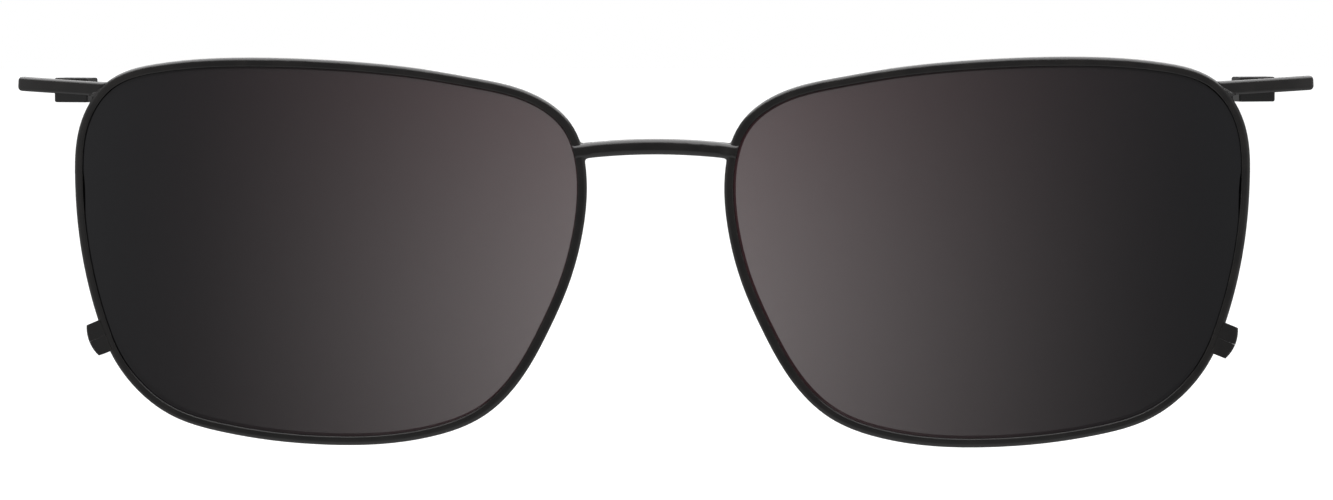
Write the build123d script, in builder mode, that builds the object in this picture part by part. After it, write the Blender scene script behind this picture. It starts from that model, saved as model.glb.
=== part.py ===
"""Magnetic clip-on sun lenses: two wire rims on a bridge, held to a host frame by two magnets.

The origin is the middle of the clip's width, height and depth.
+X is the wearer's left, +Y is back towards the host frame, +Z is up.
Each piece is made on the wearer's left, and mirrored for the right.
"""

import os
from math import asin, cos, degrees, radians, sin, sqrt

from build123d import *

# Front: the rims' outside size, their distance apart, their wrap around the face and their curve
rim_box_width = 57.6
rim_box_height = 42.76
nose_gap = 15.6
face_wrap = 4.0
base_radius = 132.0
rims_ahead = 4.82

# Rim wire: its width seen from the front, its depth and the rounding of its outer edges
rim_width = 1.05
rim_depth = 1.6
rim_rounding = 0.4

# Lens: its thickness, the height of its bevelled edge and its clearance in the rim's groove
lens_thickness = 1.2
lens_bevel = 0.5
groove_clearance = 0.06
groove_wall = 0.5

# Bridge: its section, its arch and how far its ends run on into the rims before they are trimmed
bridge_height = 1.72
bridge_depth = 1.3
bridge_rounding = 0.62
bridge_arch_radius = 70.0
bridge_lap = 0.9

# Arm: its section, its sweep, its straight run, its bent tip and its root's run into the rim
arm_height = 1.6
arm_depth = 1.15
arm_rounding = 0.4
arm_tip_rounding = 0.55
arm_sweep = 20.0
arm_pitch = 3.0
arm_run = 7.1
arm_bend = 10.0
arm_bend_radius = 20.0
arm_lap = 2.6

# Magnet housing: its place along the arm from the rim, its size, and its magnet
housing_start = 1.97
housing_length = 4.2
housing_height = 2.75
housing_depth = 2.3
housing_drop = 0.15
housing_rounding = 0.25
magnet_length = 2.6
magnet_height = 1.9
magnet_depth = 1.5
magnet_clearance = 0.04
magnet_stand = 0.1

# Rim lock: the closing block, seen from the front, which nests on the rim a little proud of it
lock_length = 3.65
lock_top_reach = 1.4
lock_middle_reach = 1.85
lock_bottom_reach = 1.4
lock_nest = 0.45
lock_proud = 0.04
lock_gap = 0.02
lock_rounding = 0.3

# Lock screw, whose head lies in a recess in the lower half and whose tip ends inside the upper half
screw_offset = 0.66
screw_radius = 0.5
screw_head_radius = 0.6
screw_head_height = 0.45
screw_head_sink = 0.1
screw_clearance = 0.04
screw_tip_room = 0.15
screw_hole_cover = 0.3
screw_slot_width = 0.24
screw_slot_depth = 0.2
screw_tip_chamfer = 0.12

# One overrun serves every cut
overrun = 12.0

# The rim's outside, from the outer side over the top, as shares of its half width and half height
outline_shares = (
    (1.0, 0.413),
    (0.982, 0.645),
    (0.93, 0.808),
    (0.81, 0.916),
    (0.564, 0.986),
    (0.167, 0.998),
    (-0.303, 0.954),
    (-0.676, 0.864),
    (-0.854, 0.772),
    (-0.962, 0.607),
    (-1.0, 0.324),
    (-0.952, -0.088),
    (-0.817, -0.502),
    (-0.65, -0.802),
    (-0.372, -0.963),
    (-0.023, -1.0),
    (0.4, -0.943),
    (0.695, -0.796),
    (0.821, -0.613),
    (0.945, -0.186),
)
outline_steps = 28
outline_places = [step / outline_steps for step in range(outline_steps)]

# Places of the arm, the bridge and the lock, as shares of the way round that outline
arm_share = 0.0579
bridge_share = 0.4079
lock_share = 0.8882

with BuildLine() as rim_outline:
    Spline(
        *[(x * rim_box_width / 2, y * rim_box_height / 2) for x, y in outline_shares],
        periodic=True,
    )
outer_curve = rim_outline.edges()[0]

# The plane of the left rim, its X outwards and its Z to the front, and the centre of its curve
rim_plane = Plane(
    origin=((rim_box_width + nose_gap) / 2, -rims_ahead, 0),
    x_dir=(cos(radians(face_wrap)), sin(radians(face_wrap)), 0),
    z_dir=(sin(radians(face_wrap)), -cos(radians(face_wrap)), 0),
)
curve_centre = rim_plane.origin - rim_plane.z_dir * base_radius


def inset_place(share, inset):
    """A place in the rim's plane, at a share of the way round, drawn in by inset."""
    along = outer_curve.tangent_at(share % 1)
    return outer_curve.position_at(share % 1) + Vector(-along.Y, along.X) * inset


def curved_place(share, inset=0, rise=0):
    """The same place lifted on to the curved front, and by rise square to it."""
    place = inset_place(share, inset)
    back = base_radius - sqrt(base_radius**2 - place.X**2 - place.Y**2)
    on_front = rim_plane.from_local_coords((place.X, place.Y, -back))
    return on_front + (on_front - curve_centre).normalized() * rise


def wall_place(share, inset, height):
    """Where the line through that place, square to the curved front, reaches a height."""
    place = inset_place(share, inset)
    centre_depth = sqrt(base_radius**2 - place.X**2 - place.Y**2)
    return place * ((base_radius + height) / centre_depth)


def edge_plane(share):
    """A plane across the curved front, its X away from the lens and its Z to the front."""
    along = outer_curve.tangent_at(share)
    front = (curved_place(share) - curve_centre).normalized()
    up_rim = rim_plane.x_dir * along.X + rim_plane.y_dir * along.Y
    return Plane(origin=curved_place(share), x_dir=up_rim.cross(front), z_dir=front)


def inside_outline(inset):
    """Everything inside the outline drawn in by inset, its walls square to the curved front."""
    with BuildPart() as inside:
        for height in (overrun, -overrun):
            with BuildSketch(rim_plane.offset(height)):
                with BuildLine():
                    Spline(
                        *[wall_place(share, inset, height) for share in outline_places],
                        periodic=True,
                    )
                make_face()
        loft(ruled=True)
    return inside.part


def write_pair(piece, name):
    """Write the left piece, and its mirror image as the right one."""
    with BuildPart() as opposite:
        mirror(piece, about=Plane.YZ)
    for side, solid in (("left", piece), ("right", opposite.part)):
        solid.label = f"{side}_{name}"
        export_step(solid, f"parts/{side}_{name}.step")


os.makedirs("parts", exist_ok=True)

# Rim: one grooved wire, swept from one face of the lock's split round to the other
split_share = lock_gap / 2 / outer_curve.length
wire_shares = [
    lock_share + split_share + (1 - 2 * split_share) * step / outline_steps
    for step in range(outline_steps + 1)
]
with BuildLine() as wire_path:
    Spline(*[curved_place(share, groove_wall) for share in wire_shares])
with BuildLine() as wire_guide:
    Spline(*[curved_place(share, groove_wall, rim_depth) for share in wire_shares])
wire_start = wire_path.edges()[0].position_at(0)
wire_front = (wire_start - curve_centre).normalized()
wire_out = wire_path.edges()[0].tangent_at(0).cross(wire_front)
groove_half = lens_thickness / 2 + groove_clearance
with BuildPart() as rim:
    section_plane = Plane(origin=wire_start, x_dir=wire_out, z_dir=wire_out.cross(wire_front))
    with BuildSketch(section_plane) as wire_section:
        with Locations((groove_wall - rim_width / 2, 0)):
            Rectangle(rim_width, rim_depth)
        fillet(wire_section.vertices().group_by(Axis.X)[-1], radius=rim_rounding)
        with BuildLine():
            Polyline(
                (0, groove_half - lens_bevel),
                (-lens_bevel, groove_half),
                (-rim_width, groove_half),
                (-rim_width, -groove_half),
                (-lens_bevel, -groove_half),
                (0, lens_bevel - groove_half),
                close=True,
            )
        make_face(mode=Mode.SUBTRACT)
    sweep(path=wire_path.edges()[0], binormal=wire_guide.edges()[0])
write_pair(rim.part, "rim")

# Lens: a plate on the base curve, whose bevelled edge lies in the rim's groove
with BuildPart() as lens:
    add(inside_outline(groove_wall + groove_clearance))
    with Locations(rim_plane.offset(-base_radius)):
        Sphere(base_radius + lens_thickness / 2, rotation=(90, 0, 0), mode=Mode.INTERSECT)
        Sphere(base_radius - lens_thickness / 2, rotation=(90, 0, 0), mode=Mode.SUBTRACT)
    chamfer(lens.edges().filter_by(GeomType.LINE, reverse=True), length=lens_bevel)
write_pair(lens.part, "lens")

# Everything inside the middle of the wire's web, which with the rim trims what is joined to it
web_inside = inside_outline(groove_wall / 2)

# Bridge: a rounded wire on an arch, from rim to rim
bridge_end = curved_place(bridge_share)
arch_rise = bridge_arch_radius - sqrt(bridge_arch_radius**2 - bridge_end.X**2)
arch_half = degrees(asin((bridge_end.X + bridge_lap) / bridge_arch_radius))
with BuildPart() as bridge:
    arch_centre = (0, bridge_end.Z + arch_rise - bridge_arch_radius)
    with BuildLine(Plane.XZ.offset(-bridge_end.Y)):
        arch = CenterArc(arch_centre, bridge_arch_radius, 90 - arch_half, 2 * arch_half)
    with BuildSketch(Plane(origin=arch @ 0, x_dir=(0, 1, 0), z_dir=arch % 0)):
        RectangleRounded(bridge_depth, bridge_height, bridge_rounding)
    sweep()
    for trim in (rim.part, web_inside):
        add(trim, mode=Mode.SUBTRACT)
        mirror(trim, about=Plane.YZ, mode=Mode.SUBTRACT)
bridge.part.label = "bridge"
export_step(bridge.part, "parts/bridge.step")

# The arm's plane: X out along the arm, Y back, Z up
arm_plane = Plane(
    origin=curved_place(arm_share),
    x_dir=(
        cos(radians(arm_sweep)) * cos(radians(arm_pitch)),
        sin(radians(arm_sweep)) * cos(radians(arm_pitch)),
        sin(radians(arm_pitch)),
    ),
    z_dir=(
        -cos(radians(arm_sweep)) * sin(radians(arm_pitch)),
        -sin(radians(arm_sweep)) * sin(radians(arm_pitch)),
        cos(radians(arm_pitch)),
    ),
)

# Arm: a flat bar with rounded edges, straight beside the housing and bent back at its tip
with BuildPart() as arm:
    with BuildLine(arm_plane):
        straight = Line((-arm_lap, 0), (arm_run, 0))
        JernArc(straight @ 1, straight % 1, arm_bend_radius, arm_bend)
    with BuildSketch(Plane(origin=straight @ 0, x_dir=arm_plane.y_dir, z_dir=straight % 0)):
        RectangleRounded(arm_depth, arm_height, arm_rounding)
    sweep()
    fillet(arm.faces().sort_by(Axis.X)[-1].edges(), radius=arm_tip_rounding)
    add(rim.part, mode=Mode.SUBTRACT)
    add(web_inside, mode=Mode.SUBTRACT)
write_pair(arm.part, "arm")

# The level plane on the arm's back face, X out beside the arm and Z back; its Y is down
housing_plane = Plane(
    origin=arm_plane.from_local_coords((0, arm_depth / 2, 0)),
    x_dir=(cos(radians(arm_sweep)), sin(radians(arm_sweep)), 0),
    z_dir=arm_plane.y_dir,
)
housing_middle = (housing_start + housing_length / 2, housing_drop)
housing_wall = (housing_height - magnet_height) / 2
magnet_middle = (housing_start + housing_length - housing_wall - magnet_length / 2, housing_drop)
magnet_floor = housing_depth + magnet_stand - magnet_depth

# Magnet housing: a small cup on the arm's back, open to the host frame
with BuildPart() as magnet_housing:
    with BuildSketch(housing_plane):
        with Locations(housing_middle):
            RectangleRounded(housing_length, housing_height, housing_rounding)
    extrude(amount=housing_depth)
    with BuildSketch(housing_plane.offset(magnet_floor)):
        with Locations(magnet_middle):
            Rectangle(magnet_length + 2 * magnet_clearance, magnet_height + 2 * magnet_clearance)
    extrude(amount=overrun, mode=Mode.SUBTRACT)
write_pair(magnet_housing.part, "magnet_housing")

# Magnet: a block on the cup's floor, its face just proud of the cup
with BuildPart() as magnet:
    with BuildSketch(housing_plane.offset(magnet_floor)):
        with Locations(magnet_middle):
            Rectangle(magnet_length, magnet_height)
    extrude(amount=magnet_depth)
write_pair(magnet.part, "magnet")

# The lock's plane, X away from the lens and Y up the rim, and the screw's plane at its lower end
lock_plane = edge_plane(lock_share)
screw_plane = Plane(
    origin=lock_plane.from_local_coords((screw_offset, -lock_length / 2, 0)),
    x_dir=lock_plane.x_dir,
    z_dir=-lock_plane.y_dir,
)
lock_faces = {
    "upper": Plane(lock_plane.from_local_coords((0, lock_gap / 2, 0)), z_dir=lock_plane.y_dir),
    "lower": Plane(lock_plane.from_local_coords((0, -lock_gap / 2, 0)), z_dir=-lock_plane.y_dir),
}


def lock_half(face):
    """The closing block with its screw's stepped hole, kept on one side of its joint face."""
    with BuildPart() as half:
        with BuildSketch(lock_plane):
            with BuildLine():
                Polyline(
                    (lock_top_reach, lock_length / 2),
                    (-lock_nest, lock_length / 2),
                    (-lock_nest, -lock_length / 2),
                    (lock_bottom_reach, -lock_length / 2),
                )
                ThreePointArc(
                    (lock_bottom_reach, -lock_length / 2),
                    (lock_middle_reach, 0),
                    (lock_top_reach, lock_length / 2),
                )
            make_face()
        extrude(amount=rim_depth / 2 + lock_proud, both=True)
        fillet(half.edges().filter_by(GeomType.CIRCLE), radius=lock_rounding)
        add(rim.part, mode=Mode.SUBTRACT)
        with Locations(screw_plane):
            CounterBoreHole(
                radius=screw_radius + screw_clearance,
                counter_bore_radius=screw_head_radius + screw_clearance,
                counter_bore_depth=screw_head_sink + screw_head_height,
                depth=lock_length - screw_hole_cover,
            )
        split(bisect_by=face, keep=Keep.TOP)
    return half.part


# Lock, upper half: its hole is closed at the top
write_pair(lock_half(lock_faces["upper"]), "lock_upper")

# Lock, lower half: its hole is wider at the bottom, for the screw's head
write_pair(lock_half(lock_faces["lower"]), "lock_lower")

# Lock screw: a slotted cheese head on a plain shank, which stands for the thread
shank_end = lock_length - screw_hole_cover - screw_tip_room
head_top = screw_plane.offset(-screw_head_sink)
with BuildPart() as lock_screw:
    with BuildSketch(head_top):
        Circle(screw_head_radius)
    extrude(amount=-(screw_head_height - screw_clearance))
    with BuildSketch(screw_plane.offset(-shank_end)) as shank_tip:
        Circle(screw_radius)
    extrude(amount=shank_end - screw_head_sink - screw_head_height / 2)
    tip_edges = lock_screw.faces().sort_by(Axis(screw_plane.origin, screw_plane.z_dir))[0].edges()
    chamfer(tip_edges, length=screw_tip_chamfer)
    with BuildSketch(head_top):
        Rectangle(overrun, screw_slot_width)
    extrude(amount=-screw_slot_depth, mode=Mode.SUBTRACT)
write_pair(lock_screw.part, "lock_screw")

# Places that the clip is known by
magnet_face = housing_plane.from_local_coords((*magnet_middle, housing_depth + magnet_stand))
print("bridge end", bridge_end, "lock", lock_plane.origin, "arm root", arm_plane.origin)
print("magnet face", magnet_face, "facing", housing_plane.z_dir)
print("screw head", screw_plane.origin, "axis", screw_plane.z_dir)
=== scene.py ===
# %% [markdown]
# # A magnetic clip-on sun front, finished around its CAD model
#
# The clip is two wire rims on a bridge. Each rim holds a dark sun lens, an arm that carries a
# magnet in a cup, and a small screwed lock that lets the lens in and out. The CAD model already
# has the right solids, so they stay as they are and get their finishes here. What the CAD model
# leaves out is added on top: the braze where the arms and the bridge meet the rims, the laps that
# carry the bridge over the rims' fronts, and the cement around the magnets. Everything is in
# metres, in the CAD model's own frame.

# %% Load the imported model
from math import atan2, cos, pi, radians, sin

import bmesh
import bpy
from mathutils import Matrix, Vector
from mathutils.bvhtree import BVHTree


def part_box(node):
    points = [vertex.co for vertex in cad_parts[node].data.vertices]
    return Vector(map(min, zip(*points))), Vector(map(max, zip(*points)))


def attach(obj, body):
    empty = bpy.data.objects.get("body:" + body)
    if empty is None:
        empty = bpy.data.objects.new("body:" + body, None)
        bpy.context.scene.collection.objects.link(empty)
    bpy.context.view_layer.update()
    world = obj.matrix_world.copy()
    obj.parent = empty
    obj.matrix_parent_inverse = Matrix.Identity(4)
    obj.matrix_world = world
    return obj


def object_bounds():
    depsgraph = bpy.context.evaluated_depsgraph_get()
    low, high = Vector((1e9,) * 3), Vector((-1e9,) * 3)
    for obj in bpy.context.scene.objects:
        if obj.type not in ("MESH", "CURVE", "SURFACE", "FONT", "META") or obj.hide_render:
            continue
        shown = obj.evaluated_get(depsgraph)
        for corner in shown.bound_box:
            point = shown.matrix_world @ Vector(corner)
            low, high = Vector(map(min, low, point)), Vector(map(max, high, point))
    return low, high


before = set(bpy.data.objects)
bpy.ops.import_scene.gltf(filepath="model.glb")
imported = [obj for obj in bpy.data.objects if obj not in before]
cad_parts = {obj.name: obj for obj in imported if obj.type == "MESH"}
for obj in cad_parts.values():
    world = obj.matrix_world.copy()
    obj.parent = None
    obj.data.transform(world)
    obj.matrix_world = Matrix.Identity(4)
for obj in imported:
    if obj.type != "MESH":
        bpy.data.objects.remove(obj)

mm = 0.001
sides = {"left": 1, "right": -1}
cad_low, cad_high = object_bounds()
print("CAD box", tuple(cad_low), tuple(cad_high))

# %% [markdown]
# ## Shader maths that reads like maths
#
# A finish is worked out by a tree of nodes. Wiring one up call by call hides what it does, so a
# small class stands for one socket, and the usual signs on it add the Math nodes. Colours go
# through Mix, and places through Vector Math, because a Math node would turn them grey.

# %% The socket class
class Shade:
    """One socket of a node tree, on which arithmetic adds the nodes that work it out."""

    def __init__(self, tree, socket=None):
        self.tree = tree
        self.socket = socket

    def node(self, kind, settings=(), feeds=(), gives=0):
        """Add a node, set it up, feed its inputs by name or number, and give one output."""
        made = self.tree.nodes.new("ShaderNode" + kind)
        for name, value in dict(settings).items():
            setattr(made, name, value)
        for name, value in dict(feeds).items():
            self.feed(made, name, value)
        return Shade(self.tree, self.find(made.outputs, gives))

    def find(self, sockets, name):
        """The socket with that number, or with that identifier or name."""
        if isinstance(name, int):
            return sockets[name]
        return next(s for s in sockets if name in (s.identifier, s.name))

    def feed(self, made, name, value):
        """Link a socket to a node's input, or write a plain value there."""
        into = self.find(made.inputs, name)
        if isinstance(value, Shade):
            self.tree.links.new(value.socket, into)
        else:
            into.default_value = value

    def maths(self, operation, *values):
        """A Math node on sockets or plain numbers."""
        return self.node("Math", {"operation": operation}, dict(enumerate(values)))

    def __add__(self, other):
        return self.maths("ADD", self, other)

    def __sub__(self, other):
        return self.maths("SUBTRACT", self, other)

    def __rsub__(self, other):
        return self.maths("SUBTRACT", other, self)

    def __mul__(self, other):
        return self.maths("MULTIPLY", self, other)

    def __truediv__(self, other):
        return self.maths("DIVIDE", self, other)

    def __pow__(self, other):
        return self.maths("POWER", self, other)

    __radd__ = __add__
    __rmul__ = __mul__

    def size(self):
        """The value without its sign."""
        return self.maths("ABSOLUTE", self)

    def larger(self, other):
        """The larger one of two values."""
        return self.maths("MAXIMUM", self, other)

    def kept_from(self, low, high):
        """The same value, but never under low or over high."""
        return self.node("Clamp", feeds={"Value": self, "Min": low, "Max": high})

    def clear_of(self, low, high):
        """0 at or under low, 1 at or over high, and a smooth step between them."""
        return self.node(
            "MapRange",
            {"interpolation_type": "SMOOTHSTEP"},
            {"Value": self, "From Min": low, "From Max": high},
        )

    def blend(self, first, second):
        """A colour that goes from first to second as this value goes from 0 to 1."""
        feeds = {"Factor_Float": self, "A_Color": with_alpha(first), "B_Color": with_alpha(second)}
        return self.node("Mix", {"data_type": "RGBA"}, feeds, "Result_Color")


def with_alpha(colour):
    """A plain colour with its alpha, as colour sockets take it. A linked one stays as it is."""
    return (*colour, 1) if isinstance(colour, tuple) else colour


# %% A fresh material, and places on the object in millimetres
def new_finish(name):
    """A material, the sheet on which its sums are written, and its Principled shader."""
    finish = bpy.data.materials.new(name)
    finish.use_nodes = True
    return finish, Shade(finish.node_tree), finish.node_tree.nodes["Principled BSDF"]


def place_in_mm(sheet):
    """Where a point lies on the object, in millimetres."""
    place = sheet.node("TexCoord", gives="Object")
    return sheet.node("VectorMath", {"operation": "SCALE"}, {0: place, "Scale": 1 / mm})


def part_of(sheet, place, axis):
    """One of the three numbers of a place or a direction."""
    return sheet.node("SeparateXYZ", feeds={"Vector": place}, gives=axis)


def agreement(sheet, one, other):
    """How far two directions agree: 1 where they are the same, and 0 where they are square."""
    return sheet.node("VectorMath", {"operation": "DOT_PRODUCT"}, {0: one, 1: other}, "Value")


def noise(sheet, place, per_mm, detail=2.0):
    """Soft random values from 0 to 1, with so many lumps to a millimetre."""
    return sheet.node("TexNoise", feeds={"Vector": place, "Scale": per_mm, "Detail": detail})


# %% Edges and bumps
edge_samples = 4
slight_bend = 0.02
full_bend = 0.25


def edges(sheet, width):
    """1 on edges that stand out or fold in, and 0 on open faces, over a width in metres."""
    rounded = sheet.node("Bevel", {"samples": edge_samples}, {"Radius": width})
    surface = sheet.node("NewGeometry", gives="Normal")
    return (1 - agreement(sheet, rounded, surface)).clear_of(slight_bend, full_bend)


def bump(sheet, height, depth, **over):
    """A normal that follows a height from 0 to 1, which stands for a depth in metres."""
    return sheet.node("Bump", feeds={"Height": height, "Distance": depth, "Strength": 1.0, **over})


# %% [markdown]
# ## Satin black paint
#
# The wires, cups and locks are stainless steel under a thin baked black coat. A baked coat isn't
# one flat black: it pools a little unevenly, has a fine orange peel, and rubs thin and shiny on
# the edges where fingers and the host frame touch it. Three noises and a soft edge mask give that.
# The coat also flows round over the wires' edges, while the small blocks of the locks stay crisp,
# so the same recipe is mixed twice, with a wide and a narrow rounding of its normals.

# %% The paint
paint_deep = (0.0036, 0.0032, 0.0032)
paint_thin = (0.0070, 0.0060, 0.0056)
paint_rubbed = (0.050, 0.046, 0.040)
paint_ior = 1.5
clouds_per_mm = 0.45
peel_per_mm = 7.0
peel_depth = 0.002 * mm
rub_width = 0.12 * mm
rub_patches_per_mm = 1.6
rub_strength = 0.6
wire_edge_round = 0.3 * mm
block_edge_round = 0.03 * mm
round_samples = 6


def make_paint(name, edge_round):
    """The paint, whose normals are rounded over the edges by so much."""
    finish, sheet, shader = new_finish(name)
    place = place_in_mm(sheet)
    clouds = noise(sheet, place, clouds_per_mm, 4.0).clear_of(0.35, 0.7)
    peel = noise(sheet, place, peel_per_mm)
    rub = edges(sheet, rub_width) * noise(sheet, place, rub_patches_per_mm, 3.0).clear_of(0.42, 0.68)
    coat = clouds.blend(paint_deep, paint_thin)
    sheet.feed(shader, "Base Color", (rub * rub_strength).blend(coat, paint_rubbed))
    sheet.feed(shader, "Roughness", 0.14 + clouds * 0.05 + peel * 0.03 - rub * 0.03)
    rounded = sheet.node("Bevel", {"samples": round_samples}, {"Radius": edge_round})
    sheet.feed(shader, "Normal", bump(sheet, peel, peel_depth, Normal=rounded))
    shader.inputs["IOR"].default_value = paint_ior
    return finish


black_paint = make_paint("satin_black_paint", wire_edge_round)
block_paint = make_paint("satin_black_block_paint", block_edge_round)
print("paint nodes", len(black_paint.node_tree.nodes))

# %% [markdown]
# ## Sun lens
#
# A sun lens of this kind is a thin curved plate of even dark grey polarised plastic. Each one is
# seen nearly black at its outer side, growing lighter and a little warmer towards the nose, and the
# two mirror each other. That is light and shade, not the lens. No single lamp does that to both, so
# it is painted into the lenses as painted light: they let a little more of the white background
# through and take a warmer colour near the nose, and painted shade darkens them towards top and
# bottom. The distance from the middle of the clip sets it, so one finish serves both sides. Light
# crosses two faces of the plate, so each face lets through the root of what the whole lens does.

# %% The lens finish
lens_nose_edge, lens_outer_edge = (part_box("left_lens")[i].x / mm for i in (0, 1))
# The colours, clearness and fades below set the light and shade that is painted on the lenses.
lens_outer_painted_dark = (0.0045, 0.0045, 0.0055)
lens_nose_painted_light = (0.037, 0.0090, 0.0120)
lens_painted_tint_fade = 1.8
lens_painted_light_clear = 0.315
lens_painted_light_fade = 1.05
lens_painted_shade_middle = -6.0
lens_painted_shade_reach = 58.0
lens_painted_shade_fade = 2.0
lens_smears_per_mm = 0.12
lens_ior = 1.5


def make_lens_finish():
    """Dark plastic with painted light, clearer and warmer towards the nose, and painted shade towards top
    and bottom.
    """
    finish, sheet, shader = new_finish("dark_sun_lens")
    place = place_in_mm(sheet)
    across = part_of(sheet, place, "X").size()
    outward = ((across - lens_nose_edge) / (lens_outer_edge - lens_nose_edge)).kept_from(0, 1)
    off_middle = ((part_of(sheet, place, "Z") - lens_painted_shade_middle) / lens_painted_shade_reach).size()
    # Painted light and shade: more white background and a warmer colour towards the nose, less towards top
    # and bottom.
    painted_light_clearness = (1 - outward ** lens_painted_light_fade) * (1 - off_middle ** lens_painted_shade_fade) * lens_painted_light_clear
    painted_light_tint = ((1 - outward) ** lens_painted_tint_fade).blend(lens_outer_painted_dark, lens_nose_painted_light)
    smear = noise(sheet, place, lens_smears_per_mm, 3.0)
    sheet.feed(shader, "Base Color", painted_light_tint)
    sheet.feed(shader, "Alpha", 1 - painted_light_clearness)
    sheet.feed(shader, "Roughness", 0.03 + smear * 0.03)
    shader.inputs["IOR"].default_value = lens_ior
    return finish


sun_lens = make_lens_finish()
print("lens runs from", round(lens_nose_edge, 2), "to", round(lens_outer_edge, 2), "mm")

# %% [markdown]
# ## Bare metals
#
# The magnets are nickel plated against rust, and the plating shows fine tumbling scratches. The
# lock screws are blackened steel whose slot and crown are rubbed brighter by the screwdriver. Both
# finishes are fully metallic, so their colour tints all that they mirror.

# %% The magnet's nickel and the screw's steel
nickel_bright = (0.62, 0.61, 0.58)
nickel_dull = (0.42, 0.39, 0.34)
scratches_per_mm = (30.0, 30.0, 3.0)
scratch_depth = 0.001 * mm
steel_black = (0.09, 0.09, 0.095)
steel_rubbed = (0.45, 0.44, 0.42)
steel_rub_width = 0.06 * mm
turning_depth = 0.0015 * mm


def make_nickel():
    """Nickel plate, dulled in clouds, with scratches drawn out along the magnet's height."""
    finish, sheet, shader = new_finish("nickel_plate")
    place = place_in_mm(sheet)
    stretched = sheet.node("VectorMath", {"operation": "MULTIPLY"}, {0: place, 1: scratches_per_mm})
    scratches = noise(sheet, stretched, 1.0, 3.0)
    tarnish = noise(sheet, place, 1.2, 4.0).clear_of(0.4, 0.75)
    sheet.feed(shader, "Base Color", tarnish.blend(nickel_bright, nickel_dull))
    sheet.feed(shader, "Roughness", 0.2 + scratches * 0.14 + tarnish * 0.12)
    sheet.feed(shader, "Normal", bump(sheet, scratches, scratch_depth))
    shader.inputs["Metallic"].default_value = 1.0
    return finish


def make_screw_steel():
    """Blackened steel, rubbed bright in patches along its edges."""
    finish, sheet, shader = new_finish("blackened_steel")
    place = place_in_mm(sheet)
    turned = noise(sheet, place, 9.0, 3.0)
    rub = edges(sheet, steel_rub_width) * noise(sheet, place, 3.0).clear_of(0.35, 0.65)
    sheet.feed(shader, "Base Color", rub.blend(steel_black, steel_rubbed))
    sheet.feed(shader, "Roughness", 0.3 + turned * 0.15 - rub * 0.08)
    sheet.feed(shader, "Normal", bump(sheet, turned, turning_depth))
    shader.inputs["Metallic"].default_value = 1.0
    return finish


nickel = make_nickel()
screw_steel = make_screw_steel()

# %% Give every CAD node its finish
finish_of = {
    "black_frame": black_paint,
    "sun_lens": sun_lens,
    "nickel_magnet": nickel,
    "dark_screw": screw_steel,
}
for name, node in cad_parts.items():
    for place, slot in enumerate(node.data.materials):
        finish = finish_of[slot.name.split(".")[0]]
        if "lock" in name and finish == black_paint:
            finish = block_paint
        node.data.materials[place] = finish
print("finished", len(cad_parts), "CAD nodes")

# %% [markdown]
# ## Braze
#
# Each wire is brazed to the rim: hot filler runs into the corner, wets both wires and freezes as a
# small hollow fillet. The CAD wires meet in sharp corners, so the filler is added here. A bevel
# can't bridge two separate solids, and a metaball would swell over the paint's crisp edges.
# Instead, rays feel where the wire and the rim are, all round the joint, and a curve through the
# corner joins the two. Its ends sink a little into both, so no gap shows. It is worked out on the
# left side and mirrored to the right one.

# %% Feel the CAD wires with rays
feel = 4 * mm
sink = 0.03 * mm
lift = 0.012 * mm


def surface_of(name):
    """The faces of a CAD node, ready for rays."""
    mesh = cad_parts[name].data
    return BVHTree.FromPolygons([v.co for v in mesh.vertices], [face.vertices for face in mesh.polygons])


def touch(name, start, way):
    """Where a ray from start first meets a CAD node's surface, or None."""
    return surfaces[name].ray_cast(start, way, 2 * feel)[0]


surfaces = {name: surface_of(name) for name in ("left_rim", "left_arm", "bridge")}
print("rim, arm and bridge are felt from", round(feel / mm, 1), "mm away")

# %% One cut through the filler
wire_probe = 1 * mm
corner_gap = sink / 10
leg_tries = 40
curve_steps = 8
root_depth = 4 * sink
highest_rise = 0.8 * mm


def foot(wire, base, out, radial, leg):
    """The corner between wire and rim in one direction, and where the filler would end on the rim."""
    reach = (touch(wire, base + out * wire_probe + radial * feel, -radial) - base).dot(radial)
    corner, toe = (
        touch("left_rim", base + radial * (reach + more) + out * feel, -out)
        for more in (corner_gap, leg)
    )
    return corner, toe


def longest_leg(wire, base, out, radial, leg):
    """The longest leg, up to the one asked for, whose end still finds the rim close to the corner."""
    for part in range(leg_tries):
        tried = leg * (1 - part / leg_tries)
        corner, toe = foot(wire, base, out, radial, tried)
        if toe is not None and (corner - toe).dot(out) < tried:
            return tried
    return leg / leg_tries


def filler_cut(wire, base, out, radial, leg):
    """From the wire's surface, hollow through the corner, to the rim's, and back inside both."""
    corner, toe = foot(wire, base, out, radial, leg)
    heel = corner + out * min(leg, highest_rise)
    raised = (radial + out) * lift
    curve = []
    for step in range(curve_steps + 1):
        t = step / curve_steps
        curve.append(heel * (1 - t) ** 2 + corner * 2 * t * (1 - t) + toe * t ** 2 + raised)
    return [heel - radial * sink, *curve, toe - out * sink, corner - (radial + out) * root_depth]


# %% Helpers that every added piece shares
def on_side(place, side):
    """A place on the left side as it is, or its mirror image on the right side."""
    return (place.x * sides[side], place.y, place.z)


def join_round(shape, rows):
    """Join closed rows of points to a closed ring, and give each row with the one after it."""
    pairs = list(zip(rows, rows[1:] + rows[:1]))
    for row, after in pairs:
        for i in range(len(row)):
            shape.faces.new((row[i - 1], row[i], after[i], after[i - 1]))
    return pairs


def add_piece(name, shape, finish):
    """A piece that rides on the clip, made from a finished shape."""
    bmesh.ops.recalc_face_normals(shape, faces=shape.faces)
    mesh = bpy.data.meshes.new(name)
    shape.to_mesh(mesh)
    shape.free()
    mesh.materials.append(finish)
    piece = bpy.data.objects.new(name, mesh)
    bpy.context.scene.collection.objects.link(piece)
    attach(piece, "clip")
    return piece


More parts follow.
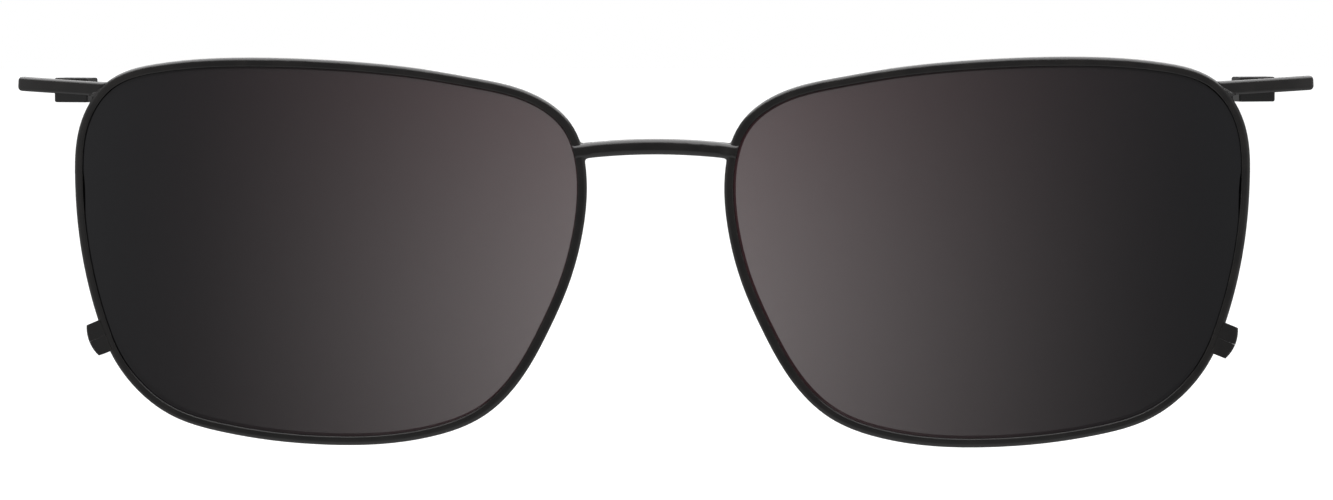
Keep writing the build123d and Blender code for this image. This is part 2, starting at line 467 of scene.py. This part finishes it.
# %% Where the wires leave the left rim
arm_root = Vector((62.431, 0.862, 17.921)) * mm
arm_sweep = radians(20.0)
arm_pitch = radians(3.0)
arm_out = Vector((cos(arm_sweep) * cos(arm_pitch), sin(arm_sweep) * cos(arm_pitch), sin(arm_pitch)))
arm_back = Vector((-sin(arm_sweep), cos(arm_sweep), 0))

bridge_root = Vector((8.043, -3.240, 11.135)) * mm
bridge_slope = radians(6.6)
bridge_out = Vector((-cos(bridge_slope), 0, sin(bridge_slope)))
bridge_back = Vector((0, 1, 0))

# %% Braze the arms and the bridge on
cuts_round = 48
leg_fade = 1.5


def braze_ring(name, wire, root, out, back, above, below, beside):
    """Filler all round a wire's end: its leg on the rim above, below and beside the wire."""
    up = back.cross(out) * (1 if back.cross(out).z > 0 else -1)
    ways, legs = [], []
    for step in range(cuts_round):
        turn = 2 * pi * step / cuts_round
        ways.append(up * cos(turn) + back * sin(turn))
        leg = beside + ((above if cos(turn) > 0 else below) - beside) * abs(cos(turn)) ** leg_fade
        legs.append(longest_leg(wire, root, out, ways[-1], leg))
    evened = [
        min(legs[i], (legs[i - 1] + legs[i] + legs[(i + 1) % cuts_round]) / 3)
        for i in range(cuts_round)
    ]
    cuts = [filler_cut(wire, root, out, way, leg) for way, leg in zip(ways, evened)]
    for side in sides:
        shape = bmesh.new()
        rows = [[shape.verts.new(on_side(p, side)) for p in cut] for cut in cuts]
        for row, after in join_round(shape, rows):
            for i in (0, len(row) - 2):
                shape.edges.get((row[i], after[i])).smooth = False
        for face in shape.faces:
            face.smooth = True
        piece = add_piece(f"{side}_{name}", shape, black_paint)
        print(piece.name, len(piece.data.polygons), "faces, longest leg", round(max(evened) / mm, 2), "mm")


braze_ring(
    "arm_braze", "left_arm", arm_root, arm_out, arm_back,
    above=0.7 * mm, below=1.3 * mm, beside=0.12 * mm,
)
braze_ring(
    "bridge_braze", "bridge", bridge_root, bridge_out, bridge_back,
    above=0.4 * mm, below=0.5 * mm, beside=0.08 * mm,
)

# %% [markdown]
# ## The bridge's ends lap over the rims
#
# Seen from the front, the bridge runs on over each rim to the lens, because its ends are filled
# and dressed with a file before the paint. The rings above only fill the corners, so each end gets
# a lap as well: a sheet of points, felt by rays from the front, that rises on the rim's inner edge,
# follows the rim, leaves it in an easy line and lands on the bridge. It takes on the bridge's own
# rounding on the way.

# %% Where the front of a joint lies
edge_step = 0.01 * mm
edge_steps = 300
edge_steps_outwards = 100
lap_half_height = 0.86 * mm
bridge_clear = 0.5 * mm
bridge_up = Vector((sin(bridge_slope), 0, cos(bridge_slope)))


def front_at(name, place):
    """Where a CAD node's front is, straight behind a place seen from the front, or None."""
    return touch(name, place - Vector((0, feel, 0)), Vector((0, 1, 0)))


def inner_edge(place):
    """How far along the bridge's line from a place the rim's front ends, on the lens's side."""
    found = 0
    for step in range(edge_steps):
        along = (edge_steps_outwards - step) * edge_step
        if front_at("left_rim", place + bridge_out * along) is not None:
            found = along
    return found


def middle_height(along):
    """How far the bridge's middle line lies above the straight line out of its root."""
    ray_start = bridge_root + bridge_out * max(along, bridge_clear) + bridge_up * feel
    return (touch("bridge", ray_start, -bridge_up) - bridge_root).dot(bridge_up) - lap_half_height


def eased(share):
    """0 to 1 as share goes from 0 to 1, slow at both ends."""
    kept = min(max(share, 0), 1)
    return kept * kept * (3 - 2 * kept)


# %% One row of the sheet over the bridge's end
lap_rows = 25
lap_steps = 41
lap_rounding = 0.62 * mm
lap_rounding_on_rim = 0.4 * mm
lap_proud = 0.12 * mm
lap_slope = 0.16 * mm
lap_on_rim = 0.6 * mm
lap_landing = 1.1 * mm
lap_fade = 0.5 * mm
lap_corner = 0.2 * mm
corner_squareness = 8
bridge_front, bridge_further = (
    front_at("bridge", bridge_root + bridge_out * along).y for along in (lap_landing, 2 * lap_landing)
)
bridge_steepness = (bridge_further - bridge_front) / lap_landing
print("the bridge's front falls back", round(bridge_steepness, 3), "mm to the millimetre")


def lap_front(on_rim, along, begin, flat_end):
    """How far back the lap's middle lies: on the rim first, and then in an easy line to the bridge."""
    rim_front = front_at("left_rim", on_rim).y - lap_proud * eased((along - begin) / lap_slope)
    t = max(0, along - flat_end) / (lap_landing - flat_end)
    pull = (t ** 3 - t ** 2) * bridge_steepness * (lap_landing - flat_end)
    return rim_front * (1 - eased(t)) + bridge_front * eased(t) + pull


def lap_drop(level, along, begin):
    """How far the lap's rounded upper and lower edges fall back from its middle."""
    widening = (lap_rounding - lap_rounding_on_rim) * eased((along - begin) / lap_on_rim)
    rounding = lap_rounding_on_rim + widening
    past = abs(level) * lap_half_height - (lap_half_height - lap_rounding)
    over = min(max(0, past + rounding - lap_rounding), rounding)
    return rounding - (rounding ** 2 - over ** 2) ** 0.5


def lap_row(level):
    """One row of points from the rim's inner edge to the bridge, at a level from -1 to 1."""
    edge = inner_edge(bridge_root + bridge_up * level * lap_half_height)
    begin = edge + lap_corner * level ** corner_squareness
    flat_end = edge + lap_on_rim
    row = []
    for step in range(lap_steps):
        along = begin + (lap_landing - begin) * step / (lap_steps - 1)
        landed = eased((along - lap_landing + lap_fade) / lap_fade)
        height = level * (lap_half_height + lift - sink * landed) + middle_height(along)
        place = bridge_root + bridge_up * height + bridge_out * along
        on_rim = bridge_root + bridge_up * level * lap_half_height + bridge_out * min(along, flat_end)
        front = lap_front(on_rim, along, begin, flat_end) + lap_drop(level, along, begin)
        sunk = sink * (1 - eased((along - begin) / lap_slope) + landed)
        row.append(Vector((place.x, front + sunk - lift, place.z)))
    return row


# %% Two closed sheets
lap_thickness = 0.2 * mm


def lap_piece(side, rows):
    """A closed piece from a grid of front points and the same grid behind it."""
    shape = bmesh.new()
    front, back = (
        [[shape.verts.new(on_side(p + behind, side)) for p in row] for row in rows]
        for behind in (Vector(), Vector((0, lap_thickness, 0)))
    )
    for grid in (front, back):
        for low, high in zip(grid, grid[1:]):
            for i in range(len(low) - 1):
                shape.faces.new((low[i], low[i + 1], high[i + 1], high[i])).smooth = True
    for end in (0, -1):
        for i in range(lap_steps - 1):
            shape.faces.new((front[end][i], front[end][i + 1], back[end][i + 1], back[end][i]))
        for i in range(lap_rows - 1):
            shape.faces.new((front[i][end], front[i + 1][end], back[i + 1][end], back[i][end]))
    piece = add_piece(f"{side}_bridge_lap", shape, black_paint)
    print(piece.name, len(piece.data.polygons), "faces")


lap = [lap_row(sin(pi * (step / (lap_rows - 1) - 0.5))) for step in range(lap_rows)]
for side in sides:
    lap_piece(side, lap)

# %% [markdown]
# ## Cement around the magnets
#
# Each magnet is glued into its cup with a dark epoxy, which swells a little from the narrow gap
# and dries as a thin collar in the corner between the magnet's side and the cup's face. A bevel
# can't bridge the two solids here either. So the collar is built from the corners of the magnet's
# outer face, which are read from the CAD model, and it faces the way that the arm is swept.

# %% The cement
cement_dark = (0.012, 0.012, 0.013)
cement_pale = (0.035, 0.034, 0.032)
cement_lumps_per_mm = 5.0
cement_lump_depth = 0.006 * mm


def make_cement():
    """Dark epoxy with a lumpy skin."""
    finish, sheet, shader = new_finish("dark_epoxy")
    lumps = noise(sheet, place_in_mm(sheet), cement_lumps_per_mm, 3.0)
    sheet.feed(shader, "Base Color", lumps.blend(cement_dark, cement_pale))
    sheet.feed(shader, "Roughness", 0.25 + lumps * 0.2)
    sheet.feed(shader, "Normal", bump(sheet, lumps, cement_lump_depth))
    return finish


cement = make_cement()

# %% The collars
collar_reach = 0.16 * mm
collar_rise = 0.07 * mm
collar_steps = 4
magnet_stand = 0.1 * mm


def middle_of(places):
    """The mean of some places."""
    return sum(places, Vector()) / len(places)


def face_corners(name, facing, across):
    """The corners of a block's face that looks along facing, in order round it."""
    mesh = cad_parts[name].data
    far = max(v.co.dot(facing) for v in mesh.vertices)
    places = {tuple(round(c, 6) for c in v.co) for v in mesh.vertices if v.co.dot(facing) > far - sink}
    corners = [Vector(p) for p in places]
    middle = middle_of(corners)
    return sorted(corners, key=lambda p: atan2((p - middle).z, (p - middle).dot(across)))


def cement_collar(side):
    """A collar of four mitred bars, hollow on the outside, whose inner parts lie in block and cup."""
    facing = Vector((-sin(arm_sweep) * sides[side], cos(arm_sweep), 0))
    across = Vector((0, 0, 1)).cross(facing)
    corners = face_corners(f"{side}_magnet", facing, across)
    middle = middle_of(corners)
    shape = bmesh.new()
    rows = []
    for corner in corners:
        from_middle = corner - middle
        outward = across * (1 if from_middle.dot(across) > 0 else -1)
        outward = outward + Vector((0, 0, 1 if from_middle.z > 0 else -1))
        cup = corner - facing * magnet_stand
        profile = [cup - outward * sink - facing * sink, cup - outward * sink + facing * collar_rise]
        for step in range(collar_steps + 1):
            t = step / collar_steps
            profile.append(cup + outward * collar_reach * t ** 2 + facing * collar_rise * (1 - t) ** 2)
        profile.append(cup + outward * collar_reach - facing * sink)
        rows.append([shape.verts.new(p) for p in profile])
    join_round(shape, rows)
    piece = add_piece(f"{side}_magnet_cement", shape, cement)
    print(piece.name, len(corners), "corners,", len(piece.data.polygons), "faces")


for side in sides:
    cement_collar(side)

# %% [markdown]
# ## Light and background
#
# The photograph is a plain product shot on white. A wide soft box overhead and the world light it
# evenly. What the glossy paint mirrors is set apart from that: a bright round ceiling gives the
# light line along the tops of the wires, a white table below gives their undersides a faint sheen,
# and the room is dim in front and behind and brighter at the sides, because a lens is a mirror and
# would show whatever stands behind the camera.

# %% The world
fill_level = 0.5
room_level = 0.3
side_level = 0.7
side_from = 0.45
side_to = 1.0
ceiling_level = 4.2
ceiling_lean = 7
ceiling_reach = 53
ceiling_soft = 6
table_level = 0.8
table_lean = 195
table_reach = 55
table_soft = 15


def patch(sheet, way, lean, reach, soft):
    """1 in a round patch of the room, whose middle leans back from straight up, in degrees."""
    middle = (0, sin(radians(lean)), cos(radians(lean)))
    return agreement(sheet, way, middle).clear_of(cos(radians(reach)), cos(radians(reach - soft)))


def make_world():
    """White to the camera, an even fill for what isn't shiny, and a room for what is mirrored."""
    world = bpy.data.worlds.new("studio")
    world.use_nodes = True
    sheet = Shade(world.node_tree)
    background = world.node_tree.nodes["Background"]
    seen, spread = (sheet.node("LightPath", gives=f"Is {kind} Ray") for kind in ("Camera", "Diffuse"))
    way = sheet.node("TexCoord", gives="Generated")
    ceiling = patch(sheet, way, ceiling_lean, ceiling_reach, ceiling_soft)
    table = patch(sheet, way, table_lean, table_reach, table_soft)
    aside = part_of(sheet, way, "X").size().clear_of(side_from, side_to)
    wall = room_level + aside * (side_level - room_level)
    mirrored = wall + ceiling * (ceiling_level - wall) + table * (table_level - wall)
    lit = spread * fill_level + (1 - spread) * mirrored
    sheet.feed(background, "Strength", seen + (1 - seen) * lit)
    background.inputs["Color"].default_value = (1, 1, 1, 1)
    bpy.context.scene.world = world


make_world()

# %% The soft box overhead
def soft_box(name, place, aim, width, height, level):
    """A rectangular lamp whose surface is level times as bright as white paper."""
    lamp = bpy.data.lights.new(name, "AREA")
    lamp.shape = "RECTANGLE"
    lamp.size = width
    lamp.size_y = height
    lamp.energy = level * pi * width * height
    box = bpy.data.objects.new(name, lamp)
    box.location = place
    box.rotation_euler = (Vector(aim) - Vector(place)).to_track_quat("-Z", "Y").to_euler()
    box.visible_camera = False
    box.visible_glossy = False
    bpy.context.scene.collection.objects.link(box)


soft_box("overhead", place=(0, -0.55, 0.8), aim=(0, -0.55, 0), width=1.2, height=1.8, level=1.3)
print("lamps", [lamp.name for lamp in bpy.data.lights])

# %% The floor
floor_drop = 12.6 * mm
floor_reach = 4.0
floor_colour = (0.35, 0.35, 0.35)
floor_lift = 0.82


def make_floor():
    """A wide sheet of paper that looks white and still takes the clip's shadow."""
    height = cad_low.z - floor_drop
    ways = ((-1, -1), (1, -1), (1, 1), (-1, 1))
    mesh = bpy.data.meshes.new("floor")
    mesh.from_pydata([(x * floor_reach, y * floor_reach, height) for x, y in ways], [], [(0, 1, 2, 3)])
    floor = bpy.data.objects.new("floor", mesh)
    bpy.context.scene.collection.objects.link(floor)
    floor.visible_glossy = False
    finish, sheet, shader = new_finish("floor_paper")
    kinds = ("Camera", "Glossy", "Transmission")
    direct, mirrored, through = (sheet.node("LightPath", gives=f"Is {kind} Ray") for kind in kinds)
    shader.inputs["Base Color"].default_value = with_alpha(floor_colour)
    shader.inputs["Roughness"].default_value = 1.0
    shader.inputs["Specular IOR Level"].default_value = 0.0
    shader.inputs["Emission Color"].default_value = (1, 1, 1, 1)
    sheet.feed(shader, "Emission Strength", direct.larger(mirrored.larger(through)) * floor_lift)
    mesh.materials.append(finish)


make_floor()

# %% [markdown]
# ## Camera
#
# The photograph was fitted with a camera 600 mm in front of the clip, a little to the wearer's
# left and a little above. The scale at the clip is 9.1 pixels to the millimetre. Its view isn't
# quite centred on the clip, which the lens shift repeats.

# %% The camera
image_width = 1333
image_height = 500
pixels_per_mm = 9.1
aim_across_px = 655.1
aim_down_px = 244.01
aim = Vector((0, -4.806, 0.944)) * mm
distance = 600 * mm
yaw = radians(4.0)
pitch = radians(2.61)
roll = radians(-0.11)
sensor_width_mm = 36
nearest_seen = 50 * mm


def make_camera():
    """The fitted camera, with its lens length and shift worked out from the photograph's pixels."""
    shot = bpy.data.cameras.new("photo_view")
    shot.sensor_width = sensor_width_mm
    shot.lens = pixels_per_mm * distance / mm * sensor_width_mm / image_width
    shot.shift_x = (image_width / 2 - aim_across_px) / image_width
    shot.shift_y = (aim_down_px - image_height / 2) / image_width
    shot.clip_start = nearest_seen
    back = Vector((sin(yaw) * cos(pitch), -cos(yaw) * cos(pitch), sin(pitch)))
    camera = bpy.data.objects.new("photo_view", shot)
    camera.location = aim + back * distance
    level = (-back).to_track_quat("-Z", "Y").to_matrix()
    camera.rotation_euler = (level @ Matrix.Rotation(roll, 3, "Z")).to_euler()
    bpy.context.scene.collection.objects.link(camera)
    bpy.context.scene.camera = camera
    print("lens", round(shot.lens, 2), "shift", round(shot.shift_x, 4), round(shot.shift_y, 4))


make_camera()
bpy.context.scene.view_settings.view_transform = "Standard"
